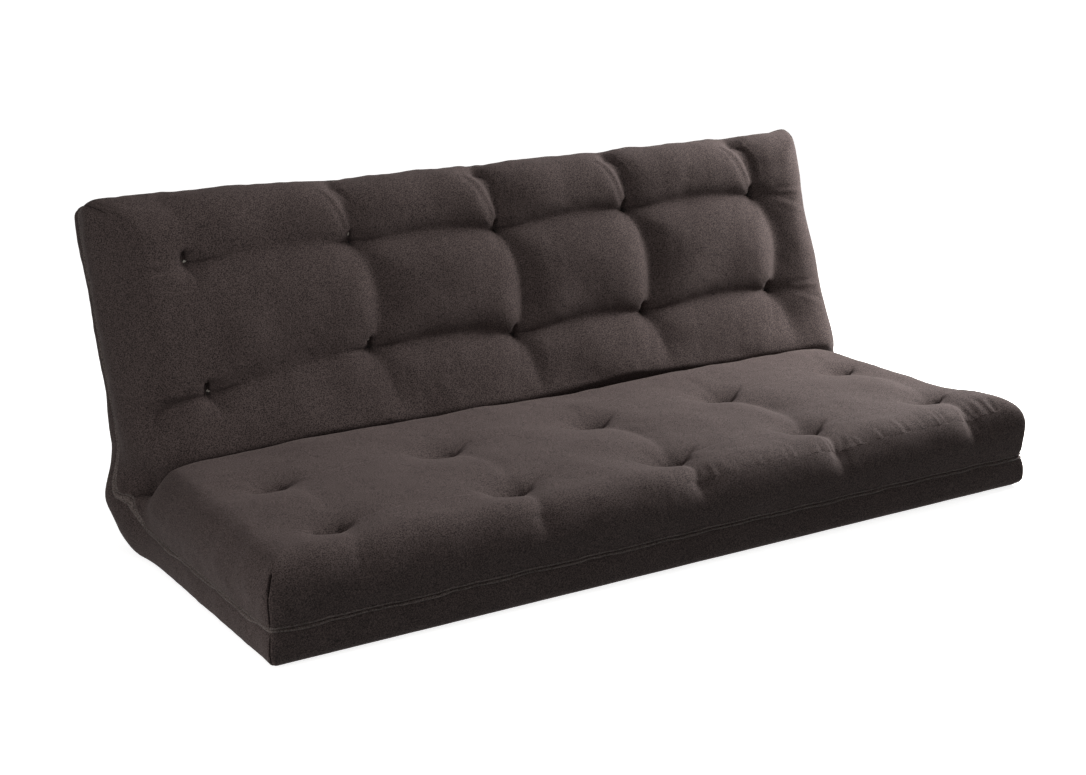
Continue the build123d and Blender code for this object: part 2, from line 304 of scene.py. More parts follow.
# The back is pulled in harder, in creases along its rows and gutters down its columns, which are
# weakest at the left end.
back_strength = (0.12, 0.75, 1.0, 1.0, 1.0)
right_end, left_end = half_width - 0.012, -half_width + 0.012
for row, dips in ((back_uppers, 0.020), (back_lowers, 0.022)):
    for number, (x, s) in enumerate(row):
        gather(at_tuft(x, s), 0.037 if number else 0.026, 0.042, 0.042)
        # A short upright slit above the tuft, where the cloth is nipped together.
        slit = curve((x, s - 0.004), (x - 0.006, s + 0.025), (x - 0.004, s + 0.055))
        gather(slit, 0.040, 0.013, 0.019, fall=0.6)
    for number in range(4):
        (x, s), (next_x, next_s) = row[number], row[number + 1]
        via = (x + 0.72 * (next_x - x), (s + next_s) / 2 + 2 * dips)
        gather(curve((x, s), via, (next_x, next_s)), 0.032 if number else 0.022, 0.034, 0.030,
               round_out=0.010 if number else 0.022)
        # Close to the tufts the crease is a sharp fold.
        for near, far in ((number, number + 1), (number + 1, number)):
            here_x, here_s = row[near]
            step_x, step_s = row[far] - row[near]
            via = (here_x + 0.15 * step_x, here_s + 0.6 * dips)
            end = (here_x + 0.30 * step_x, here_s + 0.3 * step_s + dips)
            gather(curve((here_x, here_s), via, end), 0.034, 0.007, 0.016, fall=0.95)

# Both rows run on from their last tufts to the bag's two ends.
for x, s in (back_uppers[4], back_lowers[4]):
    outwards = curve((x, s), ((x + right_end) / 2, s + 0.014), (right_end, s - 0.002))
    gather(outwards, 0.026, 0.034, 0.030, fall=0.95, round_out=0.008)
(x, s), (low_x, low_s) = back_uppers[0], back_lowers[0]
outwards = curve((x, s), ((x + left_end) / 2, s - 0.004), (left_end, s - 0.02))
gather(outwards, 0.010, 0.030, 0.030, fall=0.9)
outwards = curve((low_x, low_s), (x - 0.09, low_s + 0.004), (left_end, low_s - 0.050))
gather(outwards, 0.028, 0.026, 0.022, fall=0.3)

for number in range(5):
    (x, s), (low_x, low_s) = back_uppers[number], back_lowers[number]
    strength = back_strength[number]
    gutter = curve((x, s), (x + 0.072, 0.62 * s + 0.38 * low_s), (low_x, low_s))
    gather(gutter, 0.030 * strength, 0.046, 0.024, round_out=0.016)
    over_edge = curve((x, s), (x + 0.012, s + 0.10), (x - 0.036, back_top + 0.02))
    gather(over_edge, 0.027 * strength, 0.026, 0.030, round_out=0.006)
    below = curve((low_x, low_s), (low_x + 0.035, low_s - 0.05), (low_x + 0.02, 0.03))
    gather(below, 0.022 * strength, 0.050, 0.030, fall=0.7, round_out=0.012)
    if number:
        for aside, high in ((-0.020, 0.8), (0.002, 1.0), (0.020, 0.6)):
            start = (x + 0.4 * aside, s + 0.016)
            fine_fold = curve(start, (x + 0.014 + aside, s + 0.08), (x - 0.034 + 1.5 * aside, back_top))
            pleat(fine_fold, 0.0024 * high * strength, 0.0072, rise=0.3, fall=0.02)
for number, edge in ((0, left_end), (4, right_end)):
    for x, s in (back_uppers[number], back_lowers[number]):
        for drop, high in ((0.020, 1.0), (-0.018, 0.7)):
            start = (x + 0.3 * (edge - x), s + 0.4 * drop)
            via = (x + 0.6 * (edge - x), s + drop)
            pleat(curve(start, via, (edge, s + 1.8 * drop - 0.02)), 0.0014 * high, 0.008)

# Small puckers radiate from each tuft.
pucker_reach = 0.06
for number, (x, s) in enumerate(all_tufts):
    part = lattice_part((x - pucker_reach, s - pucker_reach), (x + pucker_reach, s + pucker_reach))
    away = np.hypot(x_grid[part] - x, s_grid[part] - s)
    angle = np.arctan2(s_grid[part] - s, x_grid[part] - x)
    waves = np.sin(7 * angle + 2.1 * number) + 0.6 * np.sin(11 * angle + 1.3 * number)
    pleats[part] += 0.0007 * waves * smooth(away / 0.008) * np.exp(-away / 0.016)

# Loose cloth over the front edge breaks into short fine pleats, most of them towards the right.
front_pleats = 46
rng = np.random.default_rng(12)
for x in np.sort(rng.uniform(-0.05, half_width - 0.03, front_pleats)):
    high = 0.0016 * rng.uniform(0.4, 1.0) * (0.35 + 0.65 * smooth((x - 0.1) / 0.4))
    length = rng.uniform(0.020, 0.055)
    lean = rng.uniform(-0.004, 0.012)
    start = (x + lean, seat_front + 0.022 + length)
    pleat(curve(start, (x, seat_front + 0.03), (x, seat_front)), high, 0.0048, fall=0.02)


def unevenness(x, s, size, seed, count=26):
    """Soft irregular ups and downs between -1 and 1: the mean of waves of about one size that run in
    every direction, each with its own phase."""
    draw = np.random.default_rng(seed)
    heading = draw.uniform(0, 2 * pi, count)
    pitch = 2 * pi / (size * draw.uniform(0.7, 1.6, count))
    phase = draw.uniform(0, 2 * pi, count)
    total = np.zeros(np.shape(x))
    for turn, rate, start in zip(heading, pitch, phase):
        total = total + np.sin(rate * (x * cos(turn) + s * sin(turn)) + start)
    return total / np.sqrt(count)


# Between its creases the pad is crowned: less towards the edges and at the back's left end, more at the
# seat's right end and right front corner, and lumpy where the fill has settled.
edge_bulge = 0.009
from_end = half_width - np.abs(x_grid)
crown = 0.007 * (1 - hump(from_end, 0.12)) * smooth((s_grid - seat_front) / 0.25)
crown = edge_bulge + crown * smooth((back_top - s_grid) / 0.14)
crown += 0.005 * smooth((x_grid - 0.6) / 0.25) * smooth(-s_grid / 0.15)
crown -= 0.013 * hump(x_grid + half_width, 0.17) * smooth(s_grid / 0.25)
crown += 0.012 * smooth((x_grid - 0.78) / 0.15) * smooth((-s_grid - 0.50) / 0.18)
crown += 0.006 * unevenness(x_grid, 0.3 * s_grid, 0.50, 11, 8) * hump(np.abs(s_grid) - 0.07, 0.05)
crown += 0.0018 * unevenness(x_grid, s_grid, 0.16, 3) + 0.00025 * unevenness(x_grid, s_grid, 0.045, 4)
top_relief = crown - hollows ** (1 / blend_power) + pleats
# The fill thins out at the two ends of the crease, where the bag's corners are drawn into the fold.
end_of_crease = hump(from_end, 0.075) * hump(s_grid, 0.060) * np.where(x_grid < 0, 1.0, 0.3)
top_relief -= 0.030 * end_of_crease
top_relief = np.where(np.abs(s_grid) < 0.03, np.minimum(top_relief, 0.0), top_relief)

# The underside is pulled in less, and only the back's has creases.
hollows = np.zeros(x_grid.shape)
for x, s in all_tufts:
    gather(at_tuft(x, s), 0.0245, 0.026, 0.026)
for row in (back_uppers, back_lowers):
    for number in range(4):
        gather(curve(row[number], row[number:number + 2].mean(axis=0), row[number + 1]), 0.012, 0.02, 0.02)
for upper, lower in zip(back_uppers, back_lowers):
    gather(curve(lower, (upper + lower) / 2, (upper[0], back_top)), 0.012, 0.02, 0.02, fall=0.2)
under_relief = -hollows ** (1 / blend_power) + 0.004 * smooth((s_grid - 0.12) / 0.1)
under_relief = np.where(s_grid < 0.12, np.minimum(under_relief, 0.0), under_relief)


# ---------------------------------------------------------------- casing
# The casing is brushed microfibre, in an upper and a lower half, each a flat panel with its own side
# walls. They are sewn together all round, a little below the middle of the walls.

lower_edge, upper_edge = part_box("seat_lower_casing")[1][2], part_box("seat_upper_casing")[0][2]
h_lines = np.concatenate([[0.0, 0.006, 0.012, 0.018], np.linspace(0.018, lower_edge, 9)[1:], [seam_height],
                          np.linspace(upper_edge, thickness - 0.05, 13),
                          np.linspace(thickness - 0.05, thickness, 13)[1:]])
seam_level = int(np.abs(h_lines - seam_height).argmin())


def relief_at(relief, x, s):
    """The relief at points, straight between the four lattice points round each."""
    i = np.clip(np.searchsorted(x_lines, x) - 1, 0, len(x_lines) - 2)
    j = np.clip(np.searchsorted(s_lines, s) - 1, 0, len(s_lines) - 2)
    u = np.clip((x - x_lines[i]) / (x_lines[i + 1] - x_lines[i]), 0, 1)
    v = np.clip((s - s_lines[j]) / (s_lines[j + 1] - s_lines[j]), 0, 1)
    low = relief[i, j] * (1 - u) + relief[i + 1, j] * u
    high = relief[i, j + 1] * (1 - u) + relief[i + 1, j + 1] * u
    return low * (1 - v) + high * v


def wall_bulge(x, s, h):
    """How far the walls stand out: full between the edges and the seam, pinched at the seam, and waved
    where the cloth is slack. Towards the upper edge this becomes the top's relief, so that creases and
    pleats run over the edge. The back's right end stands out more, and at the fold's left end the cloth
    makes a gusset, which stands out low down and is drawn in above."""
    at_left = x < -0.9
    above = np.clip((h - seam_height) / (thickness - seam_height), 0, 1)
    below = np.clip(h / seam_height, 0, 1)
    bulge = np.where(h > seam_height, edge_bulge * np.sin(pi * np.minimum(above, 0.5)) ** 0.7,
                     0.007 * np.sin(pi * below) ** 0.7)
    bulge = bulge - 0.0025 * hump(h - seam_height, 0.007)
    waves = 0.0018 * unevenness(x + s, h, 0.13, 5) + 0.0007 * unevenness(x + s, h, 0.04, 6)
    bulge += waves * (1 - hump(h - seam_height, 0.02)) * (0.25 + 0.75 * smooth(h / 0.08))
    bulge += (relief_at(top_relief, x, s) - bulge) * smooth((above - 0.25) / 0.75)
    bulge += (0.006 * smooth((x - 0.9) / 0.04) * smooth((s + 0.05) / 0.10)
              * smooth(h / 0.06) * smooth((0.17 - h) / 0.05))
    bulge += 0.034 * hump(s - 0.03, 0.045) * hump(h - 0.06, 0.045) * at_left
    in_fold = hump(s, 0.055) * at_left
    bulge += in_fold * (0.016 * (1 - smooth((h - 0.03) / 0.08)) - 0.034 * smooth((h - 0.07) / 0.09))
    return bulge


def droop(x, s):
    """The soft bag's own sag along s: its back's top edge hangs a little between its two top corners."""
    hang = 0.006 * smooth((x + 0.95) / 0.3) + 0.014 * smooth((x + 0.75) / 0.5) * smooth((1.14 - x) / 0.25)
    return -hang * smooth(s / back_top)


def lift(s, h):
    """Raises the heights near the fold, most at the seam: there the seam climbs towards the crease."""
    climb = 0.085 * hump(s, 0.034)
    share = np.where(h < seam_height, h / seam_height, (thickness - h) / (thickness - seam_height))
    return h + climb * np.clip(share, 0, 1)


def bag_points(x, s, h, inset=0.0):
    """Where points of the bag's block lie, folded, in the row frame.

    A block's points are drawn to a rounded block: each moves to its edge radius from the nearest point
    of an inner block, with a squarer norm in plan. It also moves out along that direction by the relief
    of the upper and under faces and the bulge of the walls, each by the square of its part in the
    direction, less inset. The upright corners have a groove for their seams, deeper high up at the front
    left. Puffs lean towards the fold, and the back splays at its right end.
    """
    at_x, at_s, at_h = x, s, h
    h = lift(s, h)
    low_radius = bottom_edge_radius + 0.050 * smooth(s / 0.25)
    high_radius = top_edge_radius + 0.028 * smooth((-x - 0.55) / 0.35) * smooth(s / 0.3)
    radius = low_radius + (high_radius - low_radius) * smooth((h - 0.03) / 0.09)
    inner_x = np.clip(x, -half_width + radius, half_width - radius)
    inner_s = np.clip(s, seat_front + radius, back_top - radius)
    inner_h = np.clip(h, low_radius, thickness - high_radius)
    out_x, out_s, out_h = x - inner_x, s - inner_s, h - inner_h
    square = corner_squareness - 3.5 * smooth(-x / 0.4) * smooth(s / 0.4)
    plan = (np.abs(out_x) ** square + np.abs(out_s) ** square) ** (1 / square)
    reach = np.sqrt(plan**2 + out_h**2)
    reach = np.where(reach > 0, reach, 1.0)
    up_share = np.clip(out_h / reach, 0, 1)
    down_share = np.clip(-out_h / reach, 0, 1)
    wall_share = plan / reach
    relief = relief_at(top_relief, at_x, at_s)
    out = up_share**2 * relief + down_share**2 * relief_at(under_relief, at_x, at_s)
    out += wall_share**2 * wall_bulge(at_x, at_s, at_h) - inset
    from_corner = half_width - np.abs(at_x) + np.minimum(at_s - seat_front, back_top - at_s)
    groove = 0.0042 * hump(from_corner, 0.0017) * (1 - hump(at_h - seam_height, 0.012)) * smooth(at_h / 0.01)
    notch = smooth((at_h - 0.142) / 0.02) * smooth((0.199 - at_h) / 0.010) * (at_x < 0) * (at_s < 0)
    out -= groove * smooth((0.202 - at_h) / 0.01) + 0.014 * notch * hump(from_corner, 0.0024)
    scale = (radius + out) / reach
    lean = 0.35 * smooth(-s / 0.2 - 0.2) - 0.62 * smooth(s / 0.16 - 0.2)
    x = inner_x + out_x * scale
    s = inner_s + out_s * scale + up_share**2 * lean * np.clip(relief, -0.035, 0.02)
    h = inner_h + out_h * scale
    splay = (0.026 + 0.012 * hump(at_s - 0.05, 0.14)) * smooth((x - 0.7) / 0.25) * smooth(at_s / 0.06 + 0.5)
    return fold_up(x + splay, s + droop(x, s), h)


def box_faces(counts, sides):
    """The quads on some sides of a block of lattice cells, facing outwards, and the lattice points used.

    counts are the cells along x, s and h. sides are pairs of an axis and 0 or 1 for its low or high end.
    """
    found = []
    for axis, end in sides:
        first, second = [other for other in range(3) if other != axis]
        a, b = np.meshgrid(np.arange(counts[first]), np.arange(counts[second]), indexing="ij")
        steps = [(0, 0), (1, 0), (1, 1), (0, 1)]
        if (axis == 1) == bool(end):
            steps = steps[::-1]
        corners = np.zeros(a.shape + (4, 3), dtype=np.int64)
        for turn, (step_a, step_b) in enumerate(steps):
            corners[..., turn, axis] = counts[axis] * end
            corners[..., turn, first] = a + step_a
            corners[..., turn, second] = b + step_b
        found.append(corners.reshape(-1, 4, 3))
    corners = np.concatenate(found)
    keys = (corners[..., 0] * 100000 + corners[..., 1]) * 100000 + corners[..., 2]
    used, quads = np.unique(keys, return_inverse=True)
    quads = quads.reshape(-1, 4)
    lattice = np.stack([used // 10**10, used // 10**5 % 10**5, used % 10**5], axis=1)
    return lattice, quads


counts = (len(x_lines) - 1, len(s_lines) - 1, len(h_lines) - 1)
lattice, quads = box_faces(counts, [(0, 0), (0, 1), (1, 0), (1, 1), (2, 1), (2, 0)])
points = bag_points(x_lines[lattice[:, 0]], s_lines[lattice[:, 1]], h_lines[lattice[:, 2]])


def grid_quads(rows, across, closed=False):
    """Quads over a grid of points, rows by across, joined back to the first row where it is closed."""
    first = np.arange(rows if closed else rows - 1)[:, None]
    second = (first + 1) % rows
    step = np.arange(across - 1)[None, :]
    here, there = first * across + step, second * across + step
    return np.stack([here, there, there + 1, here + 1], axis=-1).reshape(-1, 4)


def make_mesh(name, points, quads, uv=None):
    """A mesh object at the origin, with its place in its points and an optional UV for each point."""
    mesh = bpy.data.meshes.new(name)
    mesh.from_pydata(points.tolist(), [], quads.tolist())
    mesh.polygons.foreach_set("use_smooth", np.full(len(quads), True))
    if uv is not None:
        corners = np.empty(len(mesh.loops), dtype=np.int32)
        mesh.loops.foreach_get("vertex_index", corners)
        mesh.uv_layers.new(name="cloth").data.foreach_set("uv", uv[corners].astype(np.float32).ravel())
    mesh.update()
    piece = bpy.data.objects.new(name, mesh)
    bpy.context.scene.collection.objects.link(piece)
    return piece


def settle(cloth_points, held_share, most):
    """How far a grid of cloth moves when it is let go, blown out from beneath and a little too small.

    It is held in place by the share given for each point, from 0 to 1, and no point moves further
    than most. The simulation runs on a copy, without gravity, and its result is smoothed a little.
    """
    last_frame, smoothing_passes = 20, 3
    trial = make_mesh("settling_cloth", cloth_points.reshape(-1, 3), grid_quads(*cloth_points.shape[:2]))
    held = trial.vertex_groups.new(name="held")
    tenths = np.rint(10 * held_share.ravel()).astype(int)
    for tenth in range(1, 11):
        held.add(np.flatnonzero(tenths == tenth).tolist(), tenth / 10, "REPLACE")
    simulation = trial.modifiers.new("cloth", "CLOTH")
    simulation.settings.quality = 5
    simulation.settings.mass = 0.25
    simulation.settings.tension_stiffness = 15.0
    simulation.settings.compression_stiffness = 15.0
    simulation.settings.shear_stiffness = 5.0
    simulation.settings.bending_stiffness = 0.8
    simulation.settings.air_damping = 2.0
    simulation.settings.shrink_min = 0.012
    simulation.settings.use_pressure = True
    simulation.settings.uniform_pressure_force = 4.0
    simulation.settings.vertex_group_mass = "held"
    simulation.settings.pin_stiffness = 1.0
    simulation.settings.effector_weights.gravity = 0.0
    for step in range(1, last_frame + 1):
        bpy.context.scene.frame_set(step)
    settled = trial.evaluated_get(bpy.context.evaluated_depsgraph_get())
    places = np.empty(3 * len(settled.data.vertices), dtype=np.float32)
    settled.data.vertices.foreach_get("co", places)
    moved = places.reshape(cloth_points.shape) - cloth_points
    bpy.data.objects.remove(trial)
    bpy.context.scene.frame_set(1)
    for _ in range(smoothing_passes):
        moved[1:-1] = (moved[:-2] + 2 * moved[1:-1] + moved[2:]) / 4
        moved[:, 1:-1] = (moved[:, :-2] + 2 * moved[:, 1:-1] + moved[:, 2:]) / 4
    far = np.maximum(np.linalg.norm(moved, axis=-1, keepdims=True), 1e-9)
    return moved / far * most * np.tanh(far / most)


def between(values):
    """A grid of values with the mean of neighbours put between them, along both directions."""
    for axis in (0, 1):
        values = np.moveaxis(values, axis, 0)
        wider = np.empty((2 * len(values) - 1,) + values.shape[1:])
        wider[::2] = values
        wider[1::2] = (values[1:] + values[:-1]) / 2
        values = np.moveaxis(wider, 0, axis)
    return values


# The upper face settles, on every second line of its lattice. It is held fast along its edges, round
# its tufts and near the fold, and more loosely on its puffs than in its creases.
most_settled = 0.005
coarse_x, coarse_s = x_grid[::2, ::2], s_grid[::2, ::2]
hold = 0.25 + 0.6 * smooth((0.012 - top_relief[::2, ::2]) / 0.030)
to_edge = np.minimum.reduce([half_width - np.abs(coarse_x), coarse_s - seat_front, back_top - coarse_s])
hold = np.maximum(hold, 1 - smooth((to_edge - 0.015) / 0.05))
hold = np.maximum(hold, 1 - smooth((np.abs(coarse_s) - 0.07) / 0.05))
for x, s in all_tufts:
    hold = np.maximum(hold, 1 - smooth((np.hypot(coarse_x - x, coarse_s - s) - 0.010) / 0.02))
moved = settle(bag_points(coarse_x, coarse_s, np.full(coarse_x.shape, thickness)), hold, most_settled)
is_top = lattice[:, 2] == counts[2]
points[is_top] += between(moved)[lattice[is_top, 0], lattice[is_top, 1]]

is_upper = (lattice[quads][:, :, 2] >= seam_level).all(axis=1)
zip_start, zip_end = (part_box("zip_upper_tape")[end][1] - fold_y for end in (0, 1))


def in_zip(x, s):
    """Whether places on the bag's outline are in the stretch that the zip takes up."""
    return (x > half_width - 1e-6) & (s > zip_start) & (s < zip_end)


corner_x, corner_s, corner_h = (
    lines[lattice[quads][:, :, axis]] for axis, lines in enumerate((x_lines, s_lines, h_lines))
)
in_slot = in_zip(corner_x, corner_s).all(axis=1)
in_slot &= (corner_h > lower_edge - 1e-6).all(axis=1) & (corner_h < upper_edge + 1e-6).all(axis=1)


def part_of(chosen):
    """The chosen quads with only the points that they use."""
    used, packed = np.unique(quads[chosen], return_inverse=True)
    return points[used], packed.reshape(-1, 4), lattice[used]


def cloth_uv(lattice):
    """Metres along the cloth: x and s, with the height of a wall added outwards."""
    i, j, k = lattice.T
    drop = thickness - h_lines[k]
    u = x_lines[i] + np.sign(x_lines[i]) * drop * ((i == 0) | (i == counts[0]))
    v = s_lines[j] + np.sign(s_lines[j]) * drop * ((j == 0) | (j == counts[1]))
    return np.stack([u, v], axis=1)


upper_points, upper_quads, upper_lattice = part_of(is_upper & ~in_slot)
upper_casing = make_mesh("upper_casing", upper_points, upper_quads, cloth_uv(upper_lattice))
lower_points, lower_quads, lower_lattice = part_of(~is_upper & ~in_slot)
lower_casing = make_mesh("lower_casing", lower_points, lower_quads, cloth_uv(lower_lattice))


def linear(hex_colour):
    """An sRGB hex colour as linear red, green, blue and alpha."""
    values = [int(hex_colour[at:at + 2], 16) / 255 for at in (1, 3, 5)]
    return (*(v / 12.92 if v <= 0.04045 else ((v + 0.055) / 1.055) ** 2.4 for v in values), 1.0)


def node(material, kind, settings=None, inputs=None, links=None):
    """Adds a node to a material, with its settings, its inputs' values and its inputs' links."""
    made = material.node_tree.nodes.new(kind)
    for key, value in (settings or {}).items():
        setattr(made, key, value)
    for key, value in (inputs or {}).items():
        made.inputs[key].default_value = value
    for key, socket in (links or {}).items():
        material.node_tree.links.new(socket, made.inputs[key])
    return made


def new_material(name):
    """A node material with no nodes yet."""
    material = bpy.data.materials.new(name)
    material.use_nodes = True
    material.node_tree.nodes.clear()
    return material


# Brushed microfibre: a dark warm grey nap, with fibre ends that catch grazing light and a mottled grain
# of 2 to 3 mm where the nap lies this way and that. Its fibres, a few hundredths of a millimetre thick,
# are too fine to draw, and the sheen stands for them.
def brushed_cloth(name, dark, light):
    """A matt napped cloth, mottled between two colours in a fine grain, and washed darker in patches."""
    cloth = new_material(name)
    place = node(cloth, "ShaderNodeTexCoord")
    nap = node(cloth, "ShaderNodeTexNoise", inputs={"Scale": 400.0, "Detail": 6.0, "Roughness": 0.68},
               links={"Vector": place.outputs["Object"]})
    patches = node(cloth, "ShaderNodeTexNoise", inputs={"Scale": 9.0, "Detail": 4.0, "Roughness": 0.6},
                   links={"Vector": place.outputs["Object"]})
    grain = node(cloth, "ShaderNodeMapRange", {"interpolation_type": "SMOOTHSTEP"},
                 {"From Min": 0.34, "From Max": 0.66}, {"Value": nap.outputs["Fac"]})
    tone = node(cloth, "ShaderNodeMix", {"data_type": "RGBA"},
                {"A": linear(dark), "B": linear(light)}, {"Factor": grain.outputs["Result"]})
    wash = node(cloth, "ShaderNodeMapRange", inputs={"From Min": 0.3, "From Max": 0.7, "To Max": 0.22},
                links={"Value": patches.outputs["Fac"]})
    shade = node(cloth, "ShaderNodeMix", {"data_type": "RGBA", "blend_type": "MULTIPLY"},
                 {"B": linear("#a89a9c")}, {"A": tone.outputs["Result"], "Factor": wash.outputs["Result"]})
    bump = node(cloth, "ShaderNodeBump", inputs={"Strength": 0.4, "Distance": 0.0012},
                links={"Height": nap.outputs["Fac"]})
    surface = node(cloth, "ShaderNodeBsdfPrincipled",
                   inputs={"Roughness": 0.95, "Specular IOR Level": 0.15, "Sheen Weight": 0.09,
                           "Sheen Roughness": 0.5, "Sheen Tint": linear("#cdb9b5")},
                   links={"Base Color": shade.outputs["Result"], "Normal": bump.outputs["Normal"]})
    node(cloth, "ShaderNodeOutputMaterial", links={"Surface": surface.outputs["BSDF"]})
    return cloth


microfibre = brushed_cloth("brushed_microfibre_cloth", "#1c1716", "#615451")
for piece in (upper_casing, lower_casing):
    piece.data.materials.append(microfibre)


def bend_at_fold(piece):
    """Bakes a piece's placement into its mesh and leaves the piece at the origin."""
    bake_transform(piece)


for piece, names in ((upper_casing, ("seat_upper_casing", "back_upper_casing", "fold_upper_casing")),
                     (lower_casing, ("seat_lower_casing", "back_lower_casing", "fold_lower_casing"))):
    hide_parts(*names)
    bend_at_fold(piece)


# ---------------------------------------------------------------- seam band
# The two halves of the casing are joined all round by a seam: each raw edge is turned in and
# topstitched, so that it stands as two low lips with a valley between them.

rim_x = np.concatenate([x_lines[:-1], np.full(len(s_lines) - 1, half_width), x_lines[:0:-1],
                        np.full(len(s_lines) - 1, -half_width)])
rim_s = np.concatenate([np.full(len(x_lines) - 1, seat_front), s_lines[:-1],
                        np.full(len(x_lines) - 1, back_top), s_lines[:0:-1]])
lip_height = 0.0032
lip_middle = 0.0033              # from the seam line
valley_depth = 0.0020
band_half = 0.0068
tuck_start = 0.0052              # past this the band goes in under the casing


def band_points(x, s, across):
    """Points of the seam band at places on the outline, across the seam by a distance up or down.

    The band stands proud by two bell curves, one for each lip, less a narrow one for the valley, and
    its edges go in under the casing. It wanders up and down a little as hand-guided seams do.
    """
    proud = lip_height * hump(np.abs(across) - lip_middle, 0.0021) - valley_depth * hump(across, 0.0010)
    proud = proud - 0.0022 * smooth((np.abs(across) - tuck_start) / 0.0014)
    wander = (0.0016 * unevenness(x, s, 0.13, 8) + 0.0006 * unevenness(x, s, 0.05, 9)) * ~in_zip(x, s)
    return bag_points(x, s, seam_height + across + wander, inset=-proud)


band_across = np.linspace(-band_half, band_half, 21)
band_shape = (len(rim_x), len(band_across))
places = [np.broadcast_to(values, band_shape) for values in (rim_x[:, None], rim_s[:, None], band_across)]
band = band_points(*places).reshape(-1, 3)
band_quads = grid_quads(len(rim_x), len(band_across), closed=True)
row_of, across_of = band_quads // len(band_across), band_across[band_quads % len(band_across)]
opened = in_zip(rim_x[row_of], rim_s[row_of]).all(axis=1) & (np.abs(across_of) < 0.0043).all(axis=1)
seam_band = make_mesh("seam_band", band, band_quads[~opened])
# The turned edges' cloth is drawn paler than the casing's: a painted highlight for the light that the band's
# lips catch.
seam_band.data.materials.append(brushed_cloth("worn_microfibre_edge", "#38312e", "#887c77"))
turned_edge = seam_band.modifiers.new("turned_edge", "SOLIDIFY")
turned_edge.thickness = 0.0012
turned_edge.offset = -1.0
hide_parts("seat_seam_band", "back_seam_band", "fold_seam_band")
bend_at_fold(seam_band)


def patterned(name, kind, settings, inputs, value, colours, finish, relief=None, gloss=None):
    """A material with one pattern, which is the named value of a texture node of the given kind.

    The pattern mixes the two colours. It also dents the surface, if relief gives a strength and a depth,
    and varies its roughness, if gloss gives the least and the most.
    """
    material = new_material(name)
    place = node(material, "ShaderNodeTexCoord")
    pattern = node(material, kind, settings, inputs, {"Vector": place.outputs["Object"]}).outputs[value]
    tone = node(material, "ShaderNodeMix", {"data_type": "RGBA"},
                {"A": linear(colours[0]), "B": linear(colours[1])}, {"Factor": pattern})
    links = {"Base Color": tone.outputs["Result"]}
    if relief:
        bump = node(material, "ShaderNodeBump", inputs={"Strength": relief[0], "Distance": relief[1]},
                    links={"Height": pattern})
        links["Normal"] = bump.outputs["Normal"]
    if gloss:
        dull = node(material, "ShaderNodeMapRange", inputs={"To Min": gloss[0], "To Max": gloss[1]},
                    links={"Value": pattern})
        links["Roughness"] = dull.outputs["Result"]
    surface = node(material, "ShaderNodeBsdfPrincipled", inputs=finish, links=links)
    node(material, "ShaderNodeOutputMaterial", links={"Surface": surface.outputs["BSDF"]})
    return material


# Twisted polyester thread, slightly shiny. It has a row of short stitches on each lip, 7 mm apart,
# coarser than the real 3 mm so that they show.
thread = patterned("polyester_sewing_thread", "ShaderNodeTexWave", {"bands_direction": "DIAGONAL"},
                   {"Scale": 900.0, "Distortion": 0.4}, "Fac", ("#2e2927", "#4c4442"),
                   {"Roughness": 0.55, "Sheen Weight": 0.15})

stitch_pitch = 0.0070
stitch_length = 0.0046
stitch_radius = 0.00055
stitch_row = 0.0044              # from the seam line
travelled = np.concatenate([[0.0], np.cumsum(np.hypot(np.diff(rim_x), np.diff(rim_s)))])
stitch_at = np.arange(0.5 * stitch_pitch, travelled[-1], stitch_pitch)
along_stitch = np.linspace(-0.5, 0.5, 4)
stitch_line = stitch_at[:, None] + stitch_length * along_stitch
stitch_x = np.interp(stitch_line, travelled, rim_x)
stitch_s = np.interp(stitch_line, travelled, rim_s)


def tubes(paths, radius, sides=6):
    """Round tubes along many paths at once: paths has one row of points for each tube, and radius one
    value for each point. Every ring lies across its path, turned from a fixed upright direction."""
    heading = np.gradient(paths, axis=1)
    heading /= np.linalg.norm(heading, axis=-1, keepdims=True)
    guide = np.where(np.abs(heading[..., 2:]) > 0.9, [1.0, 0.0, 0.0], [0.0, 0.0, 1.0])
    first = np.cross(heading, guide)
    first /= np.linalg.norm(first, axis=-1, keepdims=True)
    second = np.cross(heading, first)
    turn = np.linspace(0.0, 2 * pi, sides, endpoint=False)
    ring = first[..., None, :] * np.cos(turn)[:, None] + second[..., None, :] * np.sin(turn)[:, None]
    points = paths[..., None, :] + np.broadcast_to(radius, paths.shape[:2])[..., None, None] * ring
    count, length = paths.shape[:2]
    here, step = np.arange(sides), np.arange(length - 1)[:, None]
    after = (here + 1) % sides
    low, high = step * sides, (step + 1) * sides
    corners = np.broadcast_arrays(low + here, low + after, high + after, high + here)
    quads = np.stack(corners, axis=-1).reshape(-1, 4)
    quads = quads[None] + np.arange(count)[:, None, None] * length * sides
    return points.reshape(-1, 3), quads.reshape(-1, 4)


stitch_points, stitch_quads = [], []
for lip in (-1, 1):
    sewn = band_points(stitch_x, stitch_s, np.full(stitch_x.shape, lip * stitch_row))
    out = sewn - bag_points(stitch_x, stitch_s, np.full(stitch_x.shape, seam_height), inset=0.02)
    out /= np.linalg.norm(out, axis=-1, keepdims=True)
    dive = 0.0011 * (2 * np.abs(along_stitch)) ** 4
    found, faces = tubes(sewn + out * (0.0004 - dive)[:, None], stitch_radius)
    stitch_points.append(found)
    stitch_quads.append(faces)
topstitching = make_mesh("topstitching", np.concatenate(stitch_points),
                         np.concatenate([stitch_quads[0], stitch_quads[1] + len(stitch_points[0])]))
topstitching.data.materials.append(thread)
bend_at_fold(topstitching)


# ---------------------------------------------------------------- corner seams
# At each upright corner the ends of the side walls are sewn to each other, in the casing's own cloth.
# The seam stands up in its groove as a narrow ridge, puckered by its stitches.

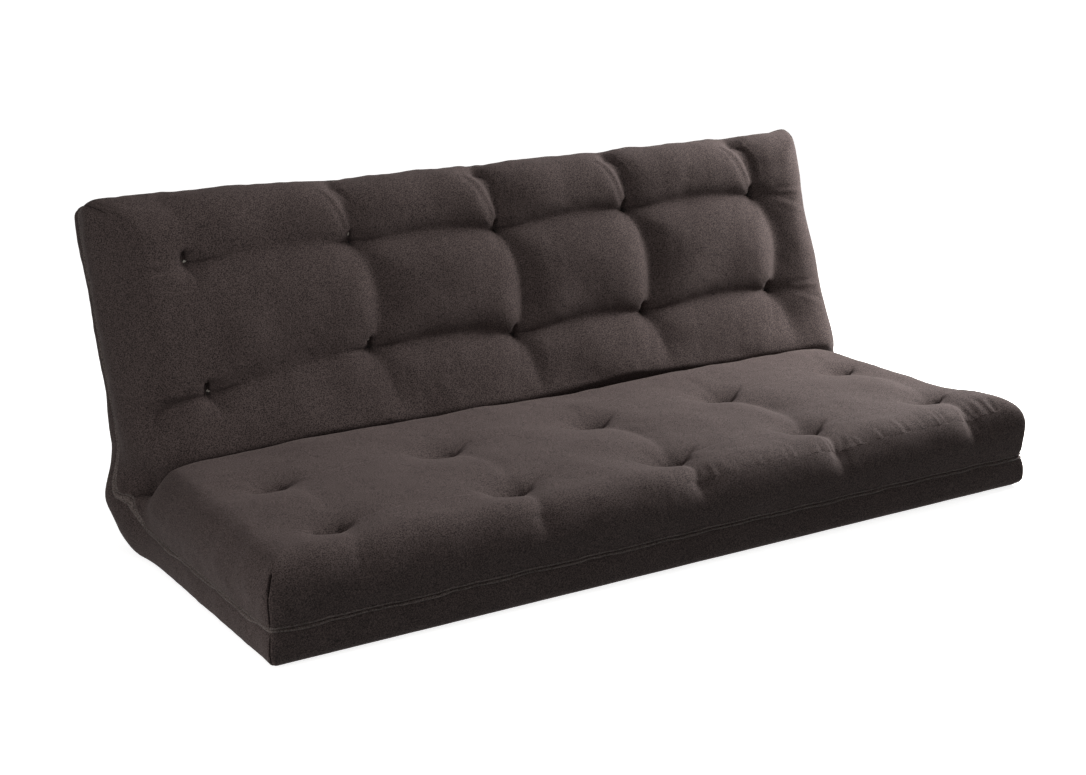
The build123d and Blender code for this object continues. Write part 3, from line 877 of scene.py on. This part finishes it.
ridge_width = 0.0034
ridge_height = 0.0012
ridge_sunk = 0.0006
ridge_end = 0.006                # it tapers out over this
pucker_pitch = 0.0078
ridge_foot, ridge_top, front_left_top = 0.010, 0.180, 0.150
beyond_edge = 0.0005             # clear of the seam band
turn = np.linspace(-pi / 2, pi / 2, 9)
ridges, ridge_quads = [], []
for end_x in (-half_width, half_width):
    for end_s in (seat_front, back_top):
        top = front_left_top if end_s < 0 and end_x < 0 else ridge_top
        for low, high in ((ridge_foot, lower_edge - beyond_edge), (upper_edge + beyond_edge, top)):
            h = np.linspace(low, high, 44)
            spine = bag_points(np.full(h.shape, end_x), np.full(h.shape, end_s), h)
            inner = bag_points(np.full(h.shape, end_x), np.full(h.shape, end_s), h, inset=0.03)
            out = spine - inner
            out /= np.linalg.norm(out, axis=-1, keepdims=True)
            up = np.gradient(spine, axis=0)
            up /= np.linalg.norm(up, axis=-1, keepdims=True)
            aside = np.cross(up, out)
            puff = 1 + 0.35 * np.sin(2 * pi * h / pucker_pitch)
            taper = smooth((h - low) / ridge_end) * smooth((high - h) / ridge_end)
            swell = ridge_height * (puff * taper)[:, None, None]
            profile = swell * np.cos(turn)[None, :, None] * out[:, None, :]
            profile = profile + 0.5 * ridge_width * np.sin(turn)[None, :, None] * aside[:, None, :]
            ridge_quads.append(grid_quads(len(h), len(turn)) + sum(len(r) for r in ridges))
            ridges.append((spine[:, None, :] + profile - ridge_sunk * out[:, None, :]).reshape(-1, 3))
corner_seams = make_mesh("corner_seams", np.concatenate(ridges), np.concatenate(ridge_quads))
corner_seams.data.materials.append(microfibre)
ridge_cloth = corner_seams.modifiers.new("turned_cloth", "SOLIDIFY")
ridge_cloth.thickness = 0.0008
ridge_cloth.offset = -1.0
bend_at_fold(corner_seams)


# ---------------------------------------------------------------- tuft twine
# Waxed twine runs through the bag at each tuft. It is knotted on both faces, and the two cut ends
# stand a few millimetres out of the pucker.

# Waxed twine: dark, dulled by its wax, and twisted with a turn every 1 to 2 mm.
waxed_twine = patterned("waxed_tufting_twine", "ShaderNodeTexWave", {"bands_direction": "DIAGONAL"},
                        {"Scale": 420.0, "Distortion": 1.0}, "Fac", ("#151211", "#2f2825"),
                        {"Roughness": 0.6}, relief=(0.5, 0.0004))

twine_radius = 0.0009
coil_radius, coil_narrows = 0.0030, 0.0016
coil_foot, coil_rise = 0.0006, 0.0026
knot_turns = np.linspace(0.0, 1.0, 34)
tail = np.linspace(0.0, 1.0, 12)


def knots(name, tufts, top):
    """The knots on one face of a pad. Each is one twine: a tail, two and a half turns of a small flat
    coil that narrows upwards, and the other tail, laid on the cloth at the tuft's bottom."""
    height = thickness if top else 0.0
    x, s = tufts[:, 0], tufts[:, 1]
    seat_point = bag_points(x, s, np.full(x.shape, height))
    deeper = bag_points(x, s, np.full(x.shape, 0.1))
    out = seat_point - deeper
    out /= np.linalg.norm(out, axis=-1, keepdims=True)
    along = np.cross(out, [1.0, 0.0, 0.0])
    along /= np.linalg.norm(along, axis=-1, keepdims=True)
    across = np.cross(along, out)
    swing = 0.9 * np.arange(len(x))[:, None]
    angle = 5 * pi * knot_turns + swing
    radius = coil_radius - coil_narrows * knot_turns
    a, b = radius * np.cos(angle), radius * np.sin(angle)
    c = np.broadcast_to(coil_foot + coil_rise * knot_turns, a.shape)
    inwards = tail[::-1]
    first = np.stack([a[:, :1] * (1 + 2.6 * inwards), b[:, :1] * (1 + 2.6 * inwards),
                      coil_foot + 0.0045 * inwards**1.5 + 0 * a[:, :1]], axis=-1)
    last = np.stack([a[:, -1:] * (1 + 5.5 * tail), b[:, -1:] * (1 + 4.0 * tail),
                     0.0032 + 0.0050 * tail**0.8 + 0 * a[:, :1]], axis=-1)
    local = np.concatenate([first[:, :-1], np.stack([a, b, c], axis=-1), last[:, 1:]], axis=1)
    paths = seat_point[:, None] + local[..., :1] * across[:, None]
    paths = paths + local[..., 1:2] * along[:, None] + local[..., 2:] * out[:, None]
    piece = make_mesh(name, *tubes(paths, twine_radius))
    piece.data.materials.append(waxed_twine)
    return piece


for pad, tufts in (("seat", seat_tufts), ("back", back_tufts)):
    for face in ("upper", "lower"):
        piece = knots(f"{pad}_{face}_knotted_twine", tufts, top=face == "upper")
        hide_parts(f"{pad}_{face}_knots")
        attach(piece, pad)
    for number in range(1, 11):
        tie = frame["nodes"][f"{pad}_tie_{number:02d}"]
        tie.data.materials.clear()
        tie.data.materials.append(waxed_twine)


# ---------------------------------------------------------------- zip
# The seam's right end opens with a coil zip, to fill the bag: two woven tapes under the turned edges, a
# monofilament coil sewn along each, two stops, and a die-cast slider with its pull.

# Woven polyester tape: matt, with a rib across it every half millimetre.
tape_cloth = new_material("woven_polyester_zip_tape")
place = node(tape_cloth, "ShaderNodeTexCoord")
stretched = node(tape_cloth, "ShaderNodeMapping", inputs={"Scale": (1.0, 1.0, 0.5)},
                 links={"Vector": place.outputs["Object"]})
weave = node(tape_cloth, "ShaderNodeTexBrick", {"offset": 0.5},
             {"Scale": 500.0, "Mortar Size": 0.02, "Color1": linear("#2a2523"), "Color2": linear("#342e2b"),
              "Mortar": linear("#181413")}, {"Vector": stretched.outputs["Vector"]})
bump = node(tape_cloth, "ShaderNodeBump", inputs={"Strength": 0.4, "Distance": 0.0003},
            links={"Height": weave.outputs["Fac"]})
tape = node(tape_cloth, "ShaderNodeBsdfPrincipled", inputs={"Roughness": 0.8, "Sheen Weight": 0.1},
            links={"Base Color": weave.outputs["Color"], "Normal": bump.outputs["Normal"]})
node(tape_cloth, "ShaderNodeOutputMaterial", links={"Surface": tape.outputs["BSDF"]})

# Nylon monofilament, moulded to its coiled shape: fairly glossy, with a faint haze.
nylon = patterned("moulded_nylon_monofilament", "ShaderNodeTexNoise", {}, {"Scale": 900.0, "Detail": 2.0},
                  "Fac", ("#211d1b", "#312b28"), {"IOR": 1.53}, gloss=(0.32, 0.48))

# Zinc die casting, blackened: a dark metal, rubbed paler in spots and uneven in its gloss.
zinc = patterned("blackened_zinc_die_casting", "ShaderNodeTexNoise", {},
                 {"Scale": 260.0, "Detail": 4.0, "Roughness": 0.65}, "Fac", ("#2c2a29", "#5b5754"),
                 {"Metallic": 1.0}, relief=(0.15, 0.0002), gloss=(0.28, 0.55))

for names, material in ((("zip_upper_tape", "zip_lower_tape"), tape_cloth),
                        (("zip_front_stop", "zip_rear_stop", "zip_slider", "zip_pull"), zinc)):
    for name in names:
        frame["nodes"][name].data.materials.clear()
        frame["nodes"][name].data.materials.append(material)

coil_pitch = 0.0014
filament_radius = 0.00034
points_each_turn = 10
for name in ("zip_upper_coil", "zip_lower_coil"):
    low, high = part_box(name)
    middle = (low + high) / 2
    turns = int((high[1] - low[1] - 2 * filament_radius) / coil_pitch)
    step = np.arange(turns * points_each_turn + 1) / points_each_turn
    half_x = (high[0] - low[0]) / 2 - filament_radius
    half_z = (high[2] - low[2]) / 2 - filament_radius
    swing = 2 * pi * step
    coil_path = np.stack([middle[0] + half_x * np.cos(swing), low[1] + filament_radius + coil_pitch * step,
                          middle[2] + half_z * np.sin(swing)], axis=-1)
    coil = make_mesh(f"{name}_turns", *tubes(coil_path[None], filament_radius, sides=5))
    coil.data.materials.append(nylon)
    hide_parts(name)
    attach(coil, "seat")


# ---------------------------------------------------------------- fill
# A foam core between two batts of cotton and polyester fibre, all three laid the whole length of the
# bag. They bend at the fold with it and are dented by the tufts.

# Cotton and polyester fibre, carded and needled into batts: off-white, fluffy, and quite matt.
batt_fibre = patterned("cotton_and_polyester_batt", "ShaderNodeTexNoise", {},
                       {"Scale": 140.0, "Detail": 5.0, "Roughness": 0.7}, "Fac", ("#d8d0c2", "#f1ece2"),
                       {"Roughness": 0.95}, relief=(0.6, 0.003))

# Polyurethane foam, cut from a block: pale yellow and matt, with open cells that are drawn 1.4 mm
# across, coarser than they are, so that they show.
cut_foam = patterned("cut_polyurethane_foam", "ShaderNodeTexVoronoi", {}, {"Scale": 700.0}, "Distance",
                     ("#c9b27a", "#ecdcab"), {"Roughness": 0.9}, relief=(0.5, 0.001))

fill_x = graded(-half_width, half_width, [-half_width, *columns, half_width], 0.009, 0.030, 0.05)
fill_s = graded(
    seat_front, back_top,
    [seat_front, *seat_tufts[:, 1], 0.0, *back_tufts[:, 1], back_top], 0.009, 0.026, 0.05,
)


def fill_points(x, s, h):
    """Points in the fill: at their share of the way up between the casing's under and upper faces, a
    little in from the casing all round and further in at the two ends of the fold."""
    x = x * (0.965 - 0.035 * hump(s, 0.09))
    s = 0.965 * s
    under, over = bag_points(x, s, np.zeros(x.shape)), bag_points(x, s, np.full(x.shape, thickness))
    return under + (over - under) * (0.05 + 0.89 * h / thickness)[:, None]


# Each layer's name, its bottom and top in the bag, its rows of cells, and what it is made of.
layers = (
    ("lower_batt", 0.0, 0.055, 4, batt_fibre, "fibre_batt", ()),
    ("foam_core", 0.0555, 0.148, 5, cut_foam, "foam_core", ("fold_fill",)),
    ("upper_batt", 0.1485, thickness, 6, batt_fibre, "fibre_batt", ()),
)
for name, bottom, top, steps, material, slot_name, extra in layers:
    layer_h = np.linspace(bottom, top, steps + 1)
    cells = (len(fill_x) - 1, len(fill_s) - 1, steps)
    lattice, quads = box_faces(cells, [(axis, end) for axis in range(3) for end in (0, 1)])
    layer_points = fill_points(fill_x[lattice[:, 0]], fill_s[lattice[:, 1]], layer_h[lattice[:, 2]])
    layer = make_mesh(name, layer_points, quads)
    layer.data.materials.append(material)
    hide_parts(f"seat_{name}", f"back_{name}", *extra)
    bend_at_fold(layer)


# ---------------------------------------------------------------- studio
# The mattress stands on a seamless white floor that glows a little, so that it all but melts into the
# white round it. One large soft light from the right does most of the lighting, with a weak sun and
# two faint panels that open up the seat and the left end.

floor_mesh = bpy.data.meshes.new("floor")
floor_mesh.from_pydata([(-40, -12, 0), (60, -12, 0), (60, 90, 0), (-40, 90, 0)], [], [(0, 1, 2, 3)])
floor = bpy.data.objects.new("floor", floor_mesh)
bpy.context.scene.collection.objects.link(floor)
floor.visible_diffuse = False
pale = new_material("pale_studio_floor")
board = node(pale, "ShaderNodeBsdfPrincipled",
             inputs={"Base Color": linear("#e6e5e3"), "Roughness": 0.95, "Specular IOR Level": 0.1,
                     "Emission Color": linear("#ffffff"), "Emission Strength": 0.85})
node(pale, "ShaderNodeOutputMaterial", links={"Surface": board.outputs["BSDF"]})
floor_mesh.materials.append(pale)

world = bpy.data.worlds.new("studio")
world.use_nodes = True
world.node_tree.nodes["Background"].inputs["Color"].default_value = (1.0, 1.0, 1.0, 1.0)
world.node_tree.nodes["Background"].inputs["Strength"].default_value = 0.18
bpy.context.scene.world = world


def aim(light, target):
    """Turns a light towards a point and puts it in the scene."""
    light.rotation_euler = (Vector(target) - light.location).to_track_quat("-Z", "Y").to_euler()
    bpy.context.scene.collection.objects.link(light)


sun = bpy.data.objects.new("key", bpy.data.lights.new("key", "SUN"))
sun.data.energy = 0.6
sun.data.angle = radians(16)
sun.location = (9.0, 1.2, 6.0)
aim(sun, (0.0, 0.0, 0.0))
for name, size, energy, place, target in (("side_light", 0.9, 125.0, (2.5, 0.24, 1.35), (0.4, 0.15, 0.3)),
                                          ("top_fill", 1.2, 5.0, (-0.7, -0.30, 1.55), (-0.2, 0.6, 0.45)),
                                          ("end_fill", 0.4, 7.5, (-2.2, -0.55, 0.30), (-0.9, -0.35, 0.1))):
    panel = bpy.data.objects.new(name, bpy.data.lights.new(name, "AREA"))
    panel.data.size = size
    panel.data.energy = energy
    panel.location = place
    aim(panel, target)
bpy.context.scene.view_settings.view_transform = "Standard"
